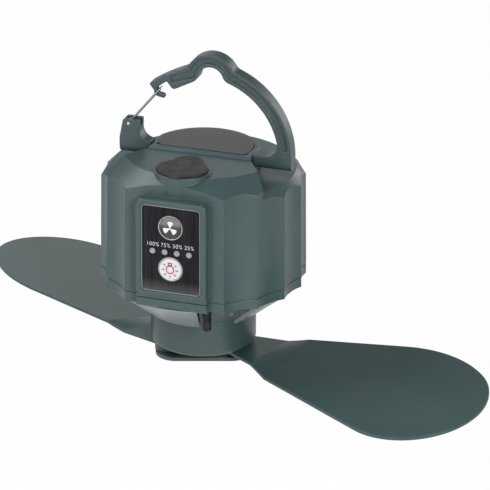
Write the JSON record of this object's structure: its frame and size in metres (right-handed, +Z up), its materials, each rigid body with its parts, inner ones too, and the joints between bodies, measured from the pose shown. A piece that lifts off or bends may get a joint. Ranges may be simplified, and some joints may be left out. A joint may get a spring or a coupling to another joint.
{
  "type": "electric fan",
  "caption": "Hanging rechargeable fan: fluted round body with a clip handle on top, a control panel in front, a ring lamp and folding blades below.",
  "frame": {"origin": "the underside of the handle's crown, where the fan rests on the hook or line it hangs from", "axes": "+Z up, -Y the front with the control panel, +X the viewer's right"},
  "size_m": [0.3082, 0.1852, 0.1696],
  "materials": {
    "body": "fine texture",
    "lens": "frosted",
    "insert": "smooth",
    "sensor": "glossy",
    "clear_lamp": "clear",
    "panel": "brushed under gloss",
    "button_metal": "satin",
    "button_white": "satin",
    "ring": "polished",
    "indicator": "translucent",
    "label": "satin",
    "rubber": "matte",
    "steel": "bright",
    "blade": "satin",
    "board": "solder mask",
    "lamp_board": "white solder mask",
    "chip": "phosphor",
    "cell": "sleeve",
    "switch": "moulded",
    "motor": "plated"
  },
  "bodies": {
    "housing": {"upper_shell": "body", "lower_shell": "body", "motor_pod": "body", "housing_screws": "steel", "pod_screws": "steel", "motor": "motor", "motor_screws": "steel", "lamp_lens": "lens", "sensor_insert": "insert", "remote_receiver": "sensor", "sensor_lamp": "clear_lamp", "lamp_board": "lamp_board", "lamp_chips": "chip", "panel_plate": "panel", "button_rings": "ring", "indicator_lenses": "indicator", "panel_board": "board", "tact_switches": "switch", "top_label": "label", "port_anchor": "rubber", "charging_socket": "steel", "charge_board": "board", "battery_cells": "cell", "battery_tray": "switch", "main_board": "board", "handle_pivots": "steel"},
    "rotor": {"motor_shaft": "steel", "carrier_plate": "body", "hub_screw": "steel", "blade_pins": "steel"},
    "right_blade": {"right_blade": "blade"},
    "left_blade": {"left_blade": "blade"},
    "handle": {"handle_arm": "body"},
    "gate_foot": {"gate_foot": "body", "gate_pin": "steel"},
    "gate": {"gate_wire": "steel"},
    "fan_button": {"fan_button": "button_metal"},
    "light_button": {"light_button": "button_white"},
    "port_flap": {"port_flap": "rubber"}
  },
  "joints": [
    {"name": "rotor_spin", "type": "hinge", "parent": "housing", "child": "rotor", "pos_m": [-0.005, 0, -0.158], "axis": [0, 0, 1], "continuous": true},
    {"name": "right_blade_fold", "type": "hinge", "parent": "rotor", "child": "right_blade", "pos_m": [0.01353, 0.00638, -0.156], "axis": [0, 0, 1], "range_deg": [-53.8, 126.2]},
    {"name": "left_blade_fold", "type": "hinge", "parent": "rotor", "child": "left_blade", "pos_m": [-0.02353, -0.00638, -0.156], "axis": [0, 0, 1], "range_deg": [-33.6, 146.4]},
    {"name": "handle_fold", "type": "hinge", "parent": "housing", "child": "handle", "pos_m": [-0.005, 0, -0.0492], "axis": [-1, 0, 0], "range_deg": [0, 90]},
    {"name": "gate_foot_fold", "type": "hinge", "parent": "housing", "child": "gate_foot", "pos_m": [-0.005, 0, -0.0492], "axis": [-1, 0, 0], "range_deg": [0, 90]},
    {"name": "gate_open", "type": "hinge", "parent": "gate_foot", "child": "gate", "pos_m": [-0.0453, 0, -0.0364], "axis": [0, 1, 0], "range_deg": [0, 20], "stiffness_Nm_per_rad": 0.05, "springref_deg": -5.73},
    {"name": "fan_button_press", "type": "slide", "parent": "housing", "child": "fan_button", "axis": [0, 1, 0], "range_m": [0, 0.0008], "stiffness_N_per_m": 1200, "springref_m": -0.0005},
    {"name": "light_button_press", "type": "slide", "parent": "housing", "child": "light_button", "axis": [0, 1, 0], "range_m": [0, 0.0008], "stiffness_N_per_m": 1200, "springref_m": -0.0005},
    {"name": "port_flap_open", "type": "hinge", "parent": "housing", "child": "port_flap", "pos_m": [-0.005, -0.0266, -0.045], "axis": [-1, 0, 0], "range_deg": [0, 90], "stiffness_Nm_per_rad": 0.003, "springref_deg": -5.73}
  ],
  "couplings": [
    {"joint": "gate_foot_fold", "follows": "handle_fold", "ratio": 1}
  ]
}
